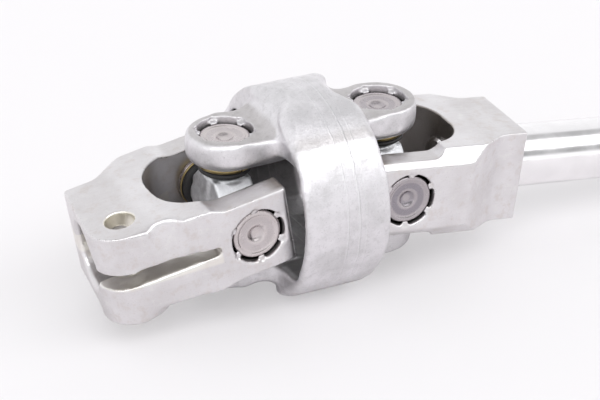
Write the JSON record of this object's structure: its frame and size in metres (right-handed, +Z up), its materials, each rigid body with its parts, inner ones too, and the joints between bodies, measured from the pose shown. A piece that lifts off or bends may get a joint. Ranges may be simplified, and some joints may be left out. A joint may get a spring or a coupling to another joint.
{
  "type": "steering column shaft joint",
  "caption": "Double universal joint for a steering column: a clamp yoke with a pinch slit, a ring-shaped coupling yoke with staked bearing cups, and a yoke on a turned shaft.",
  "frame": {"origin": "on the floor, under the middle of the whole length", "axes": "+X along the joint from the clamp yoke to the shaft's free end, +Z up along the ears' posts, +Y to the back"},
  "size_m": [0.3144, 0.0672, 0.0667],
  "materials": {
    "cast_aluminium": "blasted casting, satin",
    "machined_aluminium": "fine milled, satin",
    "turned_steel": "turned and ground, bright",
    "forged_steel": "forged and zinc plated, matte",
    "cup_steel": "drawn, satin",
    "needle_steel": "ground",
    "seal_rubber": "matte",
    "retainer_sheet": "pressed sheet, satin"
  },
  "bodies": {
    "coupling": {"coupling_yoke": "cast_aluminium", "clamp_cup_top": "cup_steel", "clamp_cup_bottom": "cup_steel", "clamp_needles_top": "needle_steel", "clamp_needles_bottom": "needle_steel", "clamp_seal_top": "seal_rubber", "clamp_seal_bottom": "seal_rubber", "clamp_retainer_top": "retainer_sheet", "clamp_retainer_bottom": "retainer_sheet", "shaft_cup_top": "cup_steel", "shaft_cup_bottom": "cup_steel", "shaft_needles_top": "needle_steel", "shaft_needles_bottom": "needle_steel", "shaft_seal_top": "seal_rubber", "shaft_seal_bottom": "seal_rubber", "shaft_retainer_top": "retainer_sheet", "shaft_retainer_bottom": "retainer_sheet"},
    "clamp_cross_body": {"clamp_cross": "forged_steel"},
    "clamp_side": {"clamp_yoke": "machined_aluminium", "clamp_cup_front": "cup_steel", "clamp_cup_back": "cup_steel", "clamp_needles_front": "needle_steel", "clamp_needles_back": "needle_steel", "clamp_seal_front": "seal_rubber", "clamp_seal_back": "seal_rubber", "clamp_retainer_front": "retainer_sheet", "clamp_retainer_back": "retainer_sheet"},
    "shaft_cross_body": {"shaft_cross": "forged_steel"},
    "shaft_side": {"shaft_yoke": "machined_aluminium", "output_shaft": "turned_steel", "shaft_cup_front": "cup_steel", "shaft_cup_back": "cup_steel", "shaft_needles_front": "needle_steel", "shaft_needles_back": "needle_steel", "shaft_seal_front": "seal_rubber", "shaft_seal_back": "seal_rubber", "shaft_retainer_front": "retainer_sheet", "shaft_retainer_back": "retainer_sheet"}
  },
  "joints": [
    {"name": "clamp_swing", "type": "hinge", "parent": "coupling", "child": "clamp_cross_body", "pos_m": [-0.10765, 0, 0.03302], "axis": [0, 0, 1], "range_deg": [-25.2, 24.8]},
    {"name": "clamp_tilt", "type": "hinge", "parent": "clamp_cross_body", "child": "clamp_side", "pos_m": [-0.10765, 0, 0.03302], "axis": [-0.0035, 1, 0], "range_deg": [-15.1, 34.9]},
    {"name": "shaft_swing", "type": "hinge", "parent": "coupling", "child": "shaft_cross_body", "pos_m": [-0.05485, 0, 0.03302], "axis": [0, 0, 1], "range_deg": [-22.8, 27.2]},
    {"name": "shaft_tilt", "type": "hinge", "parent": "shaft_cross_body", "child": "shaft_side", "pos_m": [-0.05485, 0, 0.03302], "axis": [0.0384, 0.9993, 0], "range_deg": [-31.2, 18.8]}
  ]
}
